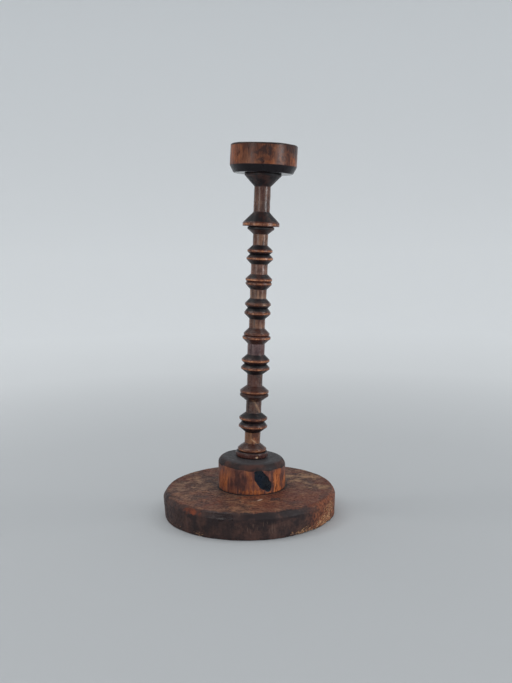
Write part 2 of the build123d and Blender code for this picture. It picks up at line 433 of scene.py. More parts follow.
def stage():
    """A pale floor that curves up into a wall all round, seen only from its inner side."""
    floor_radius, wall_radius, wall_top, steps = 1.3, 2.1, 2.6, 24
    outline = [(r, 0.0) for r in (0.0, 0.3, 0.7, floor_radius)]
    bend = wall_radius - floor_radius
    for i in range(1, steps + 1):
        angle = math.pi / 2 * i / steps
        outline.append((floor_radius + bend * math.sin(angle), bend * (1 - math.cos(angle))))
    outline.append((wall_radius, wall_top))
    segments = 96
    verts, faces = [(0.0, 0.0, 0.0)], []
    for radius, height in outline[1:]:
        for j in range(segments):
            angle = 2 * math.pi * j / segments
            verts.append((radius * math.cos(angle), radius * math.sin(angle), height))
    for j in range(segments):
        k = (j + 1) % segments
        faces.append((0, 1 + j, 1 + k))
        for i in range(len(outline) - 2):
            low, high = 1 + i * segments, 1 + (i + 1) * segments
            faces.append((low + j, high + j, high + k, low + k))
    mesh = bpy.data.meshes.new("stage")
    mesh.from_pydata(verts, [], faces)
    mesh.polygons.foreach_set("use_smooth", [True] * len(mesh.polygons))
    piece = bpy.data.objects.new("stage", mesh)
    bpy.context.scene.collection.objects.link(piece)
    finish = Finish("stage_paint", roughness=0.8, specular=0.2)
    distance = finish.add("ShaderNodeVectorMath", {0: finish.space}, operation="LENGTH").outputs["Value"]
    far = finish.step(distance, *PAINT_CHANGES)
    finish.tree.links.new(finish.mix(far, FLOOR_PAINT, WALL_PAINT), finish.shader.inputs["Base Color"])
    reach = finish.math("DIVIDE", distance, GLOW_REACH)
    stops = [(place, (0.97 * light, light, 1.01 * light, 1.0)) for place, light in STAGE_GLOW]
    finish.tree.links.new(finish.ramp(reach, stops), finish.shader.inputs["Emission Color"])
    finish.shader.inputs["Emission Strength"].default_value = 1.0
    behind = finish.add("ShaderNodeNewGeometry", {}).outputs["Backfacing"]
    clear = finish.add("ShaderNodeBsdfTransparent", {}).outputs[0]
    seen = finish.add("ShaderNodeMixShader", {0: behind, 1: finish.shader.outputs[0], 2: clear})
    finish.tree.links.new(seen.outputs[0], finish.tree.nodes["Material Output"].inputs["Surface"])
    mesh.materials.append(finish.material)


def softbox(lamp):
    """A rectangular area light that faces the object and isn't seen itself."""
    data = bpy.data.lights.new(lamp.name, "AREA")
    data.shape = "RECTANGLE"
    data.size, data.size_y = lamp.width, lamp.height
    data.energy = lamp.power
    data.color = lamp.colour
    piece = bpy.data.objects.new(lamp.name, data)
    bpy.context.scene.collection.objects.link(piece)
    piece.location = lamp.place
    piece.rotation_mode = "QUATERNION"
    piece.rotation_quaternion = (Vector(LAMPS_AIM) - Vector(lamp.place)).to_track_quat("-Z", "Y")
    piece.visible_camera = False
    return piece


def spare_stage(pieces):
    """Keep low lamps from making a bright patch on the floor beside them."""
    unlit = bpy.data.collections.new("not_lit_by_windows")
    unlit.objects.link(bpy.data.objects["stage"])
    unlit.collection_objects[0].light_linking.link_state = "EXCLUDE"
    for piece in pieces:
        piece.light_linking.receiver_collection = unlit


def lights():
    world = bpy.data.worlds.new("world")
    world.use_nodes = True
    sky = world.node_tree.nodes["Background"]
    sky.inputs["Color"].default_value = SKY_COLOUR
    sky.inputs["Strength"].default_value = SKY_STRENGTH
    bpy.context.scene.world = world
    for lamp in HIGH_LAMPS:
        softbox(lamp)
    spare_stage([softbox(lamp) for lamp in WINDOWS])
    bpy.context.scene.view_settings.view_transform = "Standard"


# ---------------------------------------------------------------- wood finishes

# dark colours for 'deep': soot on bevels, and painted shade in creases and gaps between parts
SOOT_AND_SHADE = srgb(19, 14, 18)
SMOKED_AND_SHADE = srgb(60, 36, 31)
RAW_WOOD = srgb(190, 154, 122)


def turned_wood(name, seed, stops, warm, bump, soot=1.0):
    """Dark varnished wood with its grain along Z.

    It is warm where 'worn' is painted, red-brown where 'rim', black where 'deep', which is partly soot and
    partly painted shade in creases and gaps, and pale where 'raw'.
    """
    grain = 620
    finish = Finish(name, specular=0.36)
    offset = (0.31 * seed, 0.17 * seed, 0.07 * seed)
    along = finish.place(scale=(1, 1, 0.12), offset=offset)
    free = finish.place(offset=offset)
    streaks = finish.noise(along, grain, detail=4, roughness=0.55, distortion=0.6)
    cloud = finish.noise(free, 130, detail=4, roughness=0.6)
    red = finish.noise(finish.place(offset=(0.9, seed, 0)), 75, detail=3)
    tone = finish.weighed(streaks, 0.55, cloud, 0.45)
    colour = finish.ramp(finish.step(tone, 0.32, 0.68), stops)
    colour = finish.mix(finish.step(red, 0.46, 0.66, 0, 0.6), colour, srgb(78, 40, 32))
    pores = finish.step(finish.noise(along, grain * 2.6, detail=2), 0.62, 0.74, 0, 0.2)
    colour = finish.mix(pores, colour, srgb(30, 20, 18))
    breakup = finish.noise(free, 420, detail=5, roughness=0.65)
    rim = finish.frayed("rim", breakup, 0.3, 0.7, -0.2, 0.2)
    colour = finish.mix(finish.step(rim, 0.2, 0.9), colour, srgb(74, 39, 30))
    # painted shade: 'deep' darkens creases and gaps as well as the sooty bevels
    grime_and_shade = finish.frayed("deep", breakup, 0.3, 0.75, -0.12, 0.12)
    smoke = finish.noise(finish.place(scale=(1, 1, 0.5), offset=(seed, 0.4, 0)), 150, detail=4)
    colour = finish.mix(finish.step(grime_and_shade, 0.1, 0.5, 0, soot), colour, SMOKED_AND_SHADE)
    burnt_and_shade = finish.math("ADD", grime_and_shade, finish.step(smoke, 0.35, 0.65, 0.12, -0.25))
    colour = finish.mix(finish.step(burnt_and_shade, 0.45, 0.85, 0, soot), colour, SOOT_AND_SHADE)
    worn = finish.frayed("worn", breakup, 0.3, 0.7, -0.25, 0.15)
    warm_tone = finish.mix(finish.step(tone, 0.36, 0.64), warm[0], warm[1])
    colour = finish.mix(finish.step(worn, 0.15, 0.95), colour, warm_tone)
    colour = finish.mix(finish.step(finish.paint("raw"), 0.1, 0.9), colour, RAW_WOOD)
    dull = finish.step(grime_and_shade, 0.15, 0.85, 0, 0.22)
    gloss = finish.math("ADD", finish.step(breakup, 0.3, 0.75, 0.15, 0.38), dull)
    return finish.done(colour, gloss, finish.weighed(streaks, 0.5, breakup, 0.5), bump)


def cup_wood():
    """Satin red-brown varnish.

    It is amber where 'worn' is painted, dark where 'swirl', sooty where 'deep', which also holds painted
    shade in the creases inside, and shiny where 'polish'.
    """
    finish = Finish("cup_wood", specular=0.23)
    along = finish.place(scale=(1, 1, 0.22), turn=(0.1, 0.06, 0))
    curly = finish.place(scale=(1, 1, 0.7))
    streaks = finish.noise(along, 330, detail=5, roughness=0.6, distortion=0.9)
    cloud = finish.noise(finish.place(offset=(0.2, 0, 0.3)), 60, detail=4)
    tone = finish.weighed(streaks, 0.5, cloud, 0.5)
    stops = [(0.0, srgb(62, 33, 24)), (0.5, srgb(94, 53, 36)), (1.0, srgb(126, 78, 52))]
    colour = finish.ramp(finish.step(tone, 0.34, 0.66), stops)
    fine = finish.noise(along, 900, detail=3)
    colour = finish.mix(finish.step(fine, 0.5, 0.72, 0, 0.4), colour, srgb(60, 34, 28))
    worn = finish.frayed("worn", streaks, 0.3, 0.7, -0.25, 0.25)
    amber = finish.mix(finish.step(fine, 0.36, 0.66), srgb(152, 86, 46), srgb(112, 56, 31))
    colour = finish.mix(finish.step(worn, 0.15, 1.0), colour, amber)
    eddy = finish.noise(curly, 150, detail=5, roughness=0.62, distortion=3.2)
    dark = finish.frayed("swirl", eddy, 0.35, 0.65, -0.35, 0.3)
    colour = finish.mix(finish.step(dark, 0.05, 0.95, 0, 0.9), colour, srgb(42, 27, 27))
    # 'deep' is soot on the chamfer, underside and lip, a darker inside and painted shade in the inner
    # creases
    grime_and_shade = finish.frayed("deep", cloud, 0.3, 0.75, -0.15, 0.15)
    colour = finish.mix(finish.step(grime_and_shade, 0.15, 0.5), colour, srgb(54, 31, 26))
    colour = finish.mix(finish.step(grime_and_shade, 0.5, 0.9), colour, SOOT_AND_SHADE)
    rough = finish.step(streaks, 0.3, 0.75, 0.26, 0.44)
    gloss = finish.math("SUBTRACT", rough, finish.math("MULTIPLY", finish.paint("polish"), 0.16))
    return finish.done(colour, gloss, finish.weighed(streaks, 0.6, fine, 0.4), 0.10 * MM)


def block_wood():
    """Brown sides, orange where 'worn' is painted.

    They are smoked where 'deep' is painted, which also holds painted shade along the foot, grey where
    'dust' is painted, which is dirt with a painted sheen on upward faces, and scorched where 'knot'.
    """
    finish = Finish("block_wood", specular=0.26)
    along = finish.place(scale=(1, 1, 0.16))
    streaks = finish.noise(along, 260, detail=5, roughness=0.6, distortion=1.2)
    fine = finish.noise(along, 760, detail=3, distortion=0.4)
    cloud = finish.noise(finish.place(offset=(0.1, 0.6, 0.2)), 85, detail=5, roughness=0.6)
    breakup = finish.noise(finish.place(), 420, detail=5, roughness=0.65)
    stops = [(0.0, srgb(70, 44, 42)), (0.5, srgb(110, 66, 54)), (1.0, srgb(146, 88, 58))]
    tone = finish.weighed(streaks, 0.45, cloud, 0.55)
    colour = finish.ramp(finish.step(tone, 0.36, 0.64), stops)
    worn = finish.frayed("worn", streaks, 0.3, 0.7, -0.25, 0.25)
    amber = finish.mix(finish.step(fine, 0.38, 0.64), srgb(122, 60, 33), srgb(184, 108, 62))
    colour = finish.mix(finish.step(worn, 0.1, 1.0), colour, amber)
    bright = finish.math("MULTIPLY", finish.paint("worn"), finish.step(breakup, 0.5, 0.66))
    colour = finish.mix(finish.step(bright, 0.45, 0.9, 0, 0.6), colour, srgb(200, 132, 78))
    flecks = finish.step(finish.noise(along, 520, detail=4, distortion=1.5), 0.58, 0.68, 0, 0.75)
    colour = finish.mix(flecks, colour, srgb(58, 32, 25))
    shifted = finish.place(scale=(1, 1, 0.6), offset=(0.4, 0.2, 0.9))
    blotch = finish.noise(shifted, 230, detail=5, roughness=0.65)
    colour = finish.mix(finish.step(blotch, 0.54, 0.66, 0, 0.65), colour, srgb(66, 34, 26))
    # 'deep' is the smoked cap, a dark stripe and painted shade along the foot
    cap = finish.frayed("deep", breakup, 0.3, 0.75, -0.18, 0.12)
    film = finish.mix(finish.step(cloud, 0.4, 0.64), srgb(31, 22, 23), srgb(66, 40, 34))
    # grey on upward faces: dirt with a painted sheen
    film = finish.mix(finish.math("MULTIPLY", finish.paint("dust_and_sheen"), 0.9), film, srgb(60, 58, 60))
    colour = finish.mix(finish.step(cap, 0.25, 0.7), colour, film)
    knot = finish.step(finish.frayed("knot", breakup, 0.3, 0.7, -0.2, 0.2), 0.3, 0.7)
    char = finish.mix(finish.step(cloud, 0.4, 0.65), srgb(9, 17, 24), srgb(18, 28, 40))
    colour = finish.mix(knot, colour, char)
    rough = finish.step(breakup, 0.3, 0.75, 0.36, 0.56)
    rough = finish.math("ADD", rough, finish.math("MULTIPLY", cap, 0.12))
    gloss = finish.math("SUBTRACT", rough, finish.math("MULTIPLY", knot, 0.12))
    return finish.done(colour, gloss, finish.weighed(streaks, 0.5, breakup, 0.5), 0.18 * MM)


def board_wood():
    """A flat board's blotchy dull varnish, with its grain near X.

    It is rubbed to pale wood where 'worn' is painted, red-brown where 'warm', which on the side's right is
    partly painted light, stained where 'deep', which holds painted shade along the side's foot, nearly
    black where 'band', orange where 'rust', scratched where 'scratch', splintered where 'chips', dark where
    'dent', which holds a painted shadow round the block's foot, pale where 'mark' and shiny where 'polish'.
    """
    finish = Finish("board_wood", specular=0.22)
    turn = (0, 0, math.radians(-9))
    along = finish.place(scale=(0.22, 1, 0.6), turn=turn)
    free = finish.place()
    streaks = finish.noise(along, 330, detail=6, roughness=0.65, distortion=0.8)
    fine = finish.noise(finish.place(scale=(0.16, 1, 0.6), turn=turn), 1100, detail=4, roughness=0.6)
    broad = finish.noise(free, 26, detail=6, roughness=0.62)
    mottle = finish.noise(finish.place(offset=(0.5, 0.1, 0)), 110, detail=6, roughness=0.68)
    speck = finish.noise(free, 480, detail=3, roughness=0.62)
    tone = finish.weighed(streaks, 0.35, mottle, 0.65)
    stops = [(0.0, srgb(50, 31, 27)), (0.45, srgb(94, 64, 51)), (1.0, srgb(154, 120, 95))]
    colour = finish.ramp(finish.step(tone, 0.34, 0.68), stops)
    colour = finish.mix(finish.step(broad, 0.44, 0.58, 0, 0.75), colour, srgb(98, 50, 36))
    film = finish.noise(finish.place(offset=(0.7, 0.2, 0)), 62, detail=5, roughness=0.6)
    colour = finish.mix(finish.step(film, 0.50, 0.62, 0, 0.7), colour, srgb(60, 42, 39))
    colour = finish.mix(finish.step(fine, 0.46, 0.66, 0, 0.45), colour, srgb(54, 36, 32))
    shifted = finish.place(scale=(0.4, 1, 1), turn=turn, offset=(0.3, 0, 0))
    flake = finish.noise(shifted, 300, detail=6, roughness=0.75)
    colour = finish.mix(finish.step(flake, 0.54, 0.62, 0, 0.55), colour, srgb(134, 102, 80))
    colour = finish.mix(finish.step(speck, 0.54, 0.68, 0, 0.75), colour, srgb(40, 27, 26))
    bare = finish.mix(finish.step(fine, 0.36, 0.64), srgb(168, 134, 100), srgb(118, 82, 58))
    worn = finish.frayed("worn", mottle, 0.34, 0.66, -0.55, 0.3)
    worn = finish.math("ADD", worn, finish.step(streaks, 0.35, 0.65, -0.2, 0.2))
    colour = finish.mix(finish.step(worn, 0.15, 0.8, 0, 0.85), colour, bare)
    # 'warm' holds the reddened front of the top and, on the right of the side, painted light
    red_and_lit = finish.frayed("warm", mottle, 0.3, 0.7, -0.25, 0.2)
    glow = finish.mix(finish.step(speck, 0.4, 0.62), srgb(130, 73, 46), srgb(76, 42, 32))
    colour = finish.mix(finish.step(red_and_lit, 0.1, 0.9, 0, 0.8), colour, glow)
    upright = finish.place(scale=(1, 1, 0.10), turn=(0.07, 0.05, 0))
    lines = finish.noise(upright, 620, detail=4, roughness=0.6)
    stain_and_shade = finish.mix(finish.step(mottle, 0.36, 0.68), srgb(42, 32, 33), srgb(78, 55, 49))
    stain_and_shade = finish.mix(finish.step(lines, 0.5, 0.72, 0, 0.4), stain_and_shade, srgb(36, 27, 27))
    # 'deep' holds painted shade along the foot of the side as well as its dark colour
    grime_and_shade = finish.frayed("deep", speck, 0.3, 0.75, -0.15, 0.15)
    colour = finish.mix(finish.step(grime_and_shade, 0.2, 0.75), colour, stain_and_shade)
    band = finish.frayed("band", mottle, 0.3, 0.7, -0.25, 0.2)
    colour = finish.mix(finish.step(band, 0.15, 0.95, 0, 0.9), colour, srgb(33, 25, 27))
    rust = finish.frayed("rust", mottle, 0.3, 0.7, -0.3, 0.2)
    orange = finish.mix(finish.step(mottle, 0.4, 0.62), srgb(126, 62, 38), srgb(82, 42, 31))
    colour = finish.mix(finish.step(rust, 0.1, 0.9), colour, orange)
    hairs = finish.noise(finish.place(scale=(1, 1, 0.09), turn=(0.09, 0.22, 0)), 900, detail=3)
    scratch = finish.math("MULTIPLY", finish.paint("scratch"), finish.step(hairs, 0.54, 0.68))
    colour = finish.mix(finish.step(scratch, 0.1, 0.9, 0, 0.3), colour, srgb(124, 102, 90))
    splintered = finish.place(scale=(1, 1, 1.6), turn=(0.3, 0.2, 0))
    splinter = finish.noise(splintered, 640, detail=5, roughness=0.7)
    chips = finish.frayed("chips", splinter, 0.40, 0.66, -0.95, 0.1)
    raw = finish.mix(finish.step(flake, 0.40, 0.60), srgb(136, 88, 56), srgb(190, 148, 108))
    colour = finish.mix(finish.step(chips, 0.15, 0.6, 0, 0.95), colour, raw)
    # 'dent' also holds a painted shadow round the block's foot
    dent = finish.frayed("dent", speck, 0.3, 0.7, -0.3, 0.2)
    colour = finish.mix(finish.step(dent, 0.2, 0.8, 0, 0.9), colour, srgb(38, 34, 36))
    colour = finish.mix(finish.paint("mark"), colour, srgb(196, 176, 160))
    rough = finish.step(speck, 0.2, 0.7, 0.46, 0.72)
    gloss = finish.math("MULTIPLY", rough, finish.step(finish.paint("polish"), 0.0, 0.9, 1.0, 0.26))
    return finish.done(colour, gloss, finish.weighed(streaks, 0.5, speck, 0.5), 0.25 * MM)


# ---------------------------------------------------------------- pieces

ReelLook = namedtuple("ReelLook", "pale dark rims soot")
REEL_LOOKS = {
    # palest and darkest grain in display colours; then for the lower and upper flange, how orange
    # the rim is, how black the bevels are and how dark the painted shade in its creases is
    "reel_1": ReelLook((150, 106, 72), (78, 46, 34), (0.60, 0.70), (0.50, 0.90)),
    "reel_2": ReelLook((106, 80, 68), (38, 26, 25), (0.65, 0.10), (0.85, 0.55)),
    "reel_3": ReelLook((122, 88, 74), (42, 28, 27), (0.75, 0.85), (0.55, 0.95)),
    "reel_4": ReelLook((118, 92, 90), (58, 40, 42), (1.00, 0.80), (0.85, 0.50)),
    "reel_5": ReelLook((138, 98, 76), (58, 38, 33), (0.50, 0.75), (0.50, 0.90)),
    "reel_6": ReelLook((146, 112, 90), (66, 44, 36), (0.40, 0.60), (0.95, 0.75)),
    "reel_7": ReelLook((142, 104, 88), (62, 38, 33), (1.00, 1.00), (0.75, 1.00)),
    "reel_8": ReelLook((146, 106, 82), (60, 38, 31), (1.00, 0.03), (0.92, 0.58)),
    "top_reel": ReelLook((118, 86, 70), (46, 29, 26), (0.82, 0.00), (0.90, 0.82)),
}
REEL_RIMS = (srgb(112, 64, 42), srgb(184, 124, 84))


def reel(name, seed):
    """A stem reel or the top reel: orange along its rims, sooty on its bevels, with painted shade in its
    creases.
    """
    look = REEL_LOOKS[name]
    piece = Turned(name, STEM, 0.40 * MM, 128, 0.28 * MM)
    bore = piece.radius.min()
    middle = (piece.height.min() + piece.height.max()) / 2
    worn, rim, deep = (np.zeros_like(piece.radius) for _ in range(3))
    patchy = 0.9 + 0.3 * lumps(piece.points, 7 * MM, seed + 30)
    for half, orange, soot in zip((piece.height < middle, piece.height >= middle), look.rims, look.soot):
        widest = piece.radius[half].max()
        land = half & (piece.radius > widest - 0.2 * MM)
        centre = (piece.height[land].min() + piece.height[land].max()) / 2
        reach = max(0.8 * MM, (piece.height[land].max() - piece.height[land].min()) / 2)
        edge = rise(piece.radius, widest - 1.2 * MM, widest - 0.4 * MM)
        line = (1 - rise(np.abs(piece.height - centre), 0.4 * reach, 1.05 * reach)) * edge
        slanted = (1 - rise(piece.upright, 0.78, 0.95)) * (1 - 0.8 * edge)
        # painted shade: inner corners and grooves are darkened, the more so where the bevels are blacker
        crease_shade = rise(-piece.convex, 0.1, 0.7)
        worn = np.where(half, line * orange * patchy, worn)
        rim = np.where(half, edge * math.sqrt(orange), rim)
        deep = np.where(half, np.maximum(slanted * soot, crease_shade * (0.4 + 0.6 * soot)), deep)
        deep = np.where(half, np.maximum(deep, edge * max(0.0, 0.9 - 3 * orange)), deep)
    wobble = 0.07 * MM * lumps(piece.points, 9 * MM, seed)
    wobble = wobble + 0.03 * MM * lumps(piece.points, 2.5 * MM, seed + 50)
    nicks = rise(lumps(piece.points, 3.2 * MM, seed + 90), 0.85, 1.0) * rim * 0.3 * MM
    outside = rise(piece.radius, bore, bore + 1 * MM)
    piece.push((wobble - nicks) * outside)
    return piece, {"worn": worn, "rim": rim, "deep": deep}


def wear_low_reel(piece, paint):
    """The lowest reel's shaft is rubbed golden at its foot, with slanting marks."""
    foot = side_patch(piece, 20, piece.height.min() + 10 * MM, 60, 4 * MM, 61, 0.2)
    slanting = np.sin((piece.points[:, 2] + 0.8 * piece.points[:, 0]) / (0.9 * MM))
    shaft = 1 - rise(piece.radius, 6.8 * MM, 7.6 * MM)
    paint["worn"] = np.maximum(paint["worn"], 0.8 * foot * shaft)
    paint["raw"] = 0.6 * foot * shaft * rise(slanting, 0.2, 1.0)


def wear_second_reel(piece, paint):
    """A pale slanting scrape down the front of the second reel's shaft and upper bevel."""
    high = piece.height.max() - 8 * MM
    slide = (piece.height - high) * 5.5 / MM
    away = np.abs(piece.degrees - 12 + slide) / 22 + 0.3 * lumps(piece.points, 3 * MM, 62)
    reach = 1 - rise(np.abs(piece.height - high + 1 * MM), 6 * MM, 9 * MM)
    scrape = (1 - rise(away, 0.2, 1.0)) * reach
    paint["worn"] = np.maximum(paint["worn"], 0.3 * scrape * (piece.radius < 9 * MM))
    paint["raw"] = 0.36 * scrape * (piece.radius < 9 * MM)


def chip_sixth_reel(piece, paint):
    """A small pale chip in the front right of the sixth reel's lower rim."""
    low = piece.height.min()
    lower_rim = (piece.radius > piece.radius.max() - 0.4 * MM) & (piece.height < low + 8 * MM)
    chip = side_patch(piece, 32, piece.height[lower_rim].mean(), 12, 1.0 * MM, 63) * near_rim(piece)
    paint["raw"] = 0.55 * chip
    piece.push(-0.4 * MM * chip)


SPECIAL_WEAR = {"reel_1": wear_low_reel, "reel_2": wear_second_reel, "reel_6": chip_sixth_reel}


def stem():
    for seed, (name, look) in enumerate(REEL_LOOKS.items(), start=1):
        piece, paint = reel(name, seed)
        if name in SPECIAL_WEAR:
            SPECIAL_WEAR[name](piece, paint)
        middle = tuple((a + b) / 2 for a, b in zip(look.pale, look.dark))
        stops = [(0.0, srgb(*look.dark)), (0.5, srgb(*middle)), (1.0, srgb(*look.pale))]
        wood = turned_wood(name + "_wood", seed, stops, REEL_RIMS, 0.20 * MM)
        piece.build("worn_" + name, wood, "reel_wood", **paint)


CUP_AMBER = (
    SidePatch(0.7, -62, 14, 40, 16, 13, 0.1),
    SidePatch(0.65, 10, 8, 13, 3.2, 14, 0.2),
    SidePatch(0.7, 64, 8.5, 26, 5.5, 15, 0.2),
)
CUP_SWIRL = (
    SidePatch(0.8, 4, 17, 26, 9, 12, 0.1),
    SidePatch(1.1, 65, 19, 34, 11, 16, 0.2),
    SidePatch(0.38, 32, 13, 20, 18, 11, 0.1),
    SidePatch(0.6, -5, 10, 9, 6, 17, 0.1),
)


def cup():
    piece = Turned("candle_cup", STEM, 0.5 * MM, 224, 0.30 * MM)
    bottom, top, widest = piece.height.min(), piece.height.max(), piece.radius.max()
    inside = piece.radius < widest - 3.2 * MM
    side = rise(piece.upright, 0.93, 0.99) * (piece.radius > widest - 0.8 * MM)
    bevel = 1 - rise(piece.height, bottom + 5.6 * MM, bottom + 6.1 * MM)
    lip = rise(piece.height, top - 1.9 * MM, top - 1.0 * MM)
    # darker inside, with painted shade in the inner creases
    hollow = 0.42 + 0.2 * lumps(piece.points, 8 * MM, 19) + 0.25 * rise(-piece.convex, 0.1, 0.7)
    deep = np.where(inside & (piece.height > bottom + 1 * MM), hollow, np.maximum(bevel, 0.68 * lip))
    behind = rise(np.abs(piece.degrees), 95, 120)
    worn_behind = behind * 0.6 * rise(lumps(piece.points, 22 * MM, 7), -0.2, 0.9)
    worn = np.maximum(side_patches(piece, CUP_AMBER, bottom), worn_behind) * side
    swirl_behind = behind * 0.7 * rise(lumps(piece.points, 26 * MM, 18), 0.1, 0.9)
    swirl = np.maximum(side_patches(piece, CUP_SWIRL, bottom), swirl_behind) * side
    underside = 1 - rise(piece.height, bottom + 0.3 * MM, bottom + 0.8 * MM)
    polish = underside + 0.15 * side * rise(piece.degrees, 5, 25)
    piece.push(0.10 * MM * lumps(piece.points, 16 * MM, 8) + 0.04 * MM * lumps(piece.points, 4 * MM, 9))
    piece.build("worn_candle_cup", cup_wood(), "cup_wood", worn=worn, deep=deep, swirl=swirl, polish=polish)


def ring():
    piece = Turned("foot_ring", STEM, 0.4 * MM, 144, 0.30 * MM)
    bottom, top, widest = piece.height.min(), piece.height.max(), piece.radius.max()
    middle = (bottom + top) / 2
    rim = rise(piece.radius, widest - 0.8 * MM, widest - 0.2 * MM)
    rubbed = rim * rise(lumps(piece.points, 9 * MM, 3), 0.2, 1.0)
    chip = side_patch(piece, 20, middle - 0.6 * MM, 7, 1.2 * MM, 5) * near_rim(piece)
    # painted shade: the ring is darkened along its top and bottom, in the slit under the reel above and in
    # the gap under it
    deep = rise(np.abs(piece.height - middle), 1.3 * MM, 2.2 * MM)
    piece.push(0.08 * MM * lumps(piece.points, 8 * MM, 4) - 0.5 * MM * chip)
    stops = [(0.0, srgb(40, 26, 27)), (0.5, srgb(62, 39, 37)), (1.0, srgb(86, 54, 48))]
    warm = (srgb(116, 68, 54), srgb(200, 150, 124))
    wood = turned_wood("ring_wood", 41, stops, warm, 0.16 * MM, soot=0.9)
    paint = {"worn": 0.25 * rubbed, "rim": 0.5 * rim, "deep": deep, "raw": 0.7 * chip}
    piece.build("worn_foot_ring", wood, "ring_wood", **paint)


def knot_lobe(piece, degrees, height, half_width, half_height, lean):
    """Distance from the middle of a slanting oval on the block's side, where 1 is its edge."""
    across = np.radians(piece.degrees - degrees) * BLOCK_RADIUS
    up = piece.height - height
    major = up * math.cos(lean) - across * math.sin(lean)
    minor = across * math.cos(lean) + up * math.sin(lean)
    return np.hypot(major / half_height, minor / half_width)


def knot_mask(piece):
    """A leaf-shaped knot on the block's front, leaning from upper left to lower right."""
    leaf = knot_lobe(piece, 16.4, 12.8 * MM, 6.0 * MM, 10.6 * MM, math.radians(25))
    swell = knot_lobe(piece, 27.5, 7.4 * MM, 3.4 * MM, 5.8 * MM, math.radians(4))
    away = -np.log(np.exp(-6 * leaf) + np.exp(-6 * swell)) / 6 + 0.28 * ragged(piece, 7 * MM, 77)
    return 1 - rise(away, 0.76, 1.06)


BLOCK_AZIMUTH = -1.588  # beside the block's lean, where its slanting top is at its middle height
BLOCK_GOLD = (
    SidePatch(0.75, -62, 10, 30, 14, 21, 0.15),
    SidePatch(0.25, -4, 10, 9, 12, 22, 0.2),
    SidePatch(1.0, 47, 9, 15, 22, 23, 0.6),
    SidePatch(0.65, 5, 2.2, 46, 3.2, 24, 0.2),
    SidePatch(0.9, 76, 10, 14, 14, 25, 0.3),
)


def block():
    piece = Turned("pedestal_block", BLOCK, 0.45 * MM, 300, 0.22 * MM, BLOCK_AZIMUTH)
    shoulder = piece.height.max() - 5.6 * MM
    slant = -STEM_AXIS.x / STEM_AXIS.z * piece.points[:, 0] * np.clip(piece.height / shoulder, 0, 1)
    piece.points[:, 2] += slant
    edge = shoulder + 0.5 * MM * lumps(piece.points, 8 * MM, 29)
    cap = rise(piece.height, edge - 0.3 * MM, edge + 0.4 * MM)
    # painted shade: a dark line along the block's foot, where it meets the board
    foot = 1 - rise(piece.height, 0.2 * MM, 0.8 * MM)
    stripe = side_patch(piece, 64, 11 * MM, 6, 13 * MM, 30, 0.2)
    deep = np.maximum(np.maximum(cap, 0.8 * foot), 0.5 * stripe)
    # upward faces are painted grey: dirt with a painted sheen
    dust_and_sheen = rise(piece.facing_up, 0.75, 0.98)
    behind = rise(np.abs(piece.degrees), 80, 100)
    streaked = rise(lumps(piece.points * np.array([1, 1, 0.5]), 22 * MM, 26), -0.2, 0.9)
    gold = np.maximum(side_patches(piece, BLOCK_GOLD), 0.8 * behind * streaked)
    side = rise(piece.radius, BLOCK_RADIUS - 3 * MM, BLOCK_RADIUS - 2 * MM) * (1 - cap)
    knot = knot_mask(piece) * side
    uneven = 0.10 * MM * lumps(piece.points, 15 * MM, 27) + 0.04 * MM * lumps(piece.points, 4 * MM, 28)
    piece.push(uneven - 0.15 * MM * knot)
    paint = {"worn": gold * (1 - cap), "deep": deep, "dust_and_sheen": dust_and_sheen, "knot": knot}
    piece.build("worn_pedestal_block", block_wood(), "block_wood", **paint)


def loose_parts(node):
    """The separate solids of a node, as arrays of points, in the order of the mesh's points."""
    mesh = bmesh.new()
    mesh.from_mesh(NODES[node].data)
    bmesh.ops.remove_doubles(mesh, verts=mesh.verts, dist=WELD)
    left, parts = set(mesh.verts), []
    for first in mesh.verts:
        if first not in left:
            continue
        left.remove(first)
        todo, part = [first], []
        while todo:
            vert = todo.pop()
            part.append(vert.co[:])
            for edge in vert.link_edges:
                other = edge.other_vert(vert)
                if other in left:
                    left.remove(other)
                    todo.append(other)
        parts.append(np.array(part))
    mesh.free()
    return parts


SCREW_HOLE_GAP = 0.06 * MM  # between a screw's head and the board, all round
SCREW_HEAD_SHOWS = 0.6 * MM  # how far up a screw's head its recess is open


def cut_screw_holes(piece):
    """Open the countersunk recesses that show the screw heads in the board's underside."""
    cutter = bmesh.new()
    for part in loose_parts("base_screws"):
        low, high = part.min(axis=0), part.max(axis=0)
        centre = (low + high) / 2
        radius = (high[0] - low[0]) / 2 + SCREW_HOLE_GAP
        depth = low[2] + SCREW_HEAD_SHOWS
        place = Matrix.Translation((centre[0], centre[1], 0))
        size = {"segments": 48, "radius1": radius, "radius2": radius, "depth": 2 * depth}
        bmesh.ops.create_cone(cutter, cap_ends=True, matrix=place, **size)
    mesh = bpy.data.meshes.new("cutter")
    cutter.to_mesh(mesh)
    cutter.free()
    tool = bpy.data.objects.new("cutter", mesh)
    bpy.context.scene.collection.objects.link(tool)
    cut = piece.modifiers.new("screw_holes", "BOOLEAN")
    cut.operation, cut.solver, cut.object = "DIFFERENCE", "EXACT", tool
    graph = bpy.context.evaluated_depsgraph_get()
    whole = bpy.data.meshes.new_from_object(piece.evaluated_get(graph), depsgraph=graph)
    piece.modifiers.clear()
    piece.data = whole
    bpy.data.objects.remove(tool)


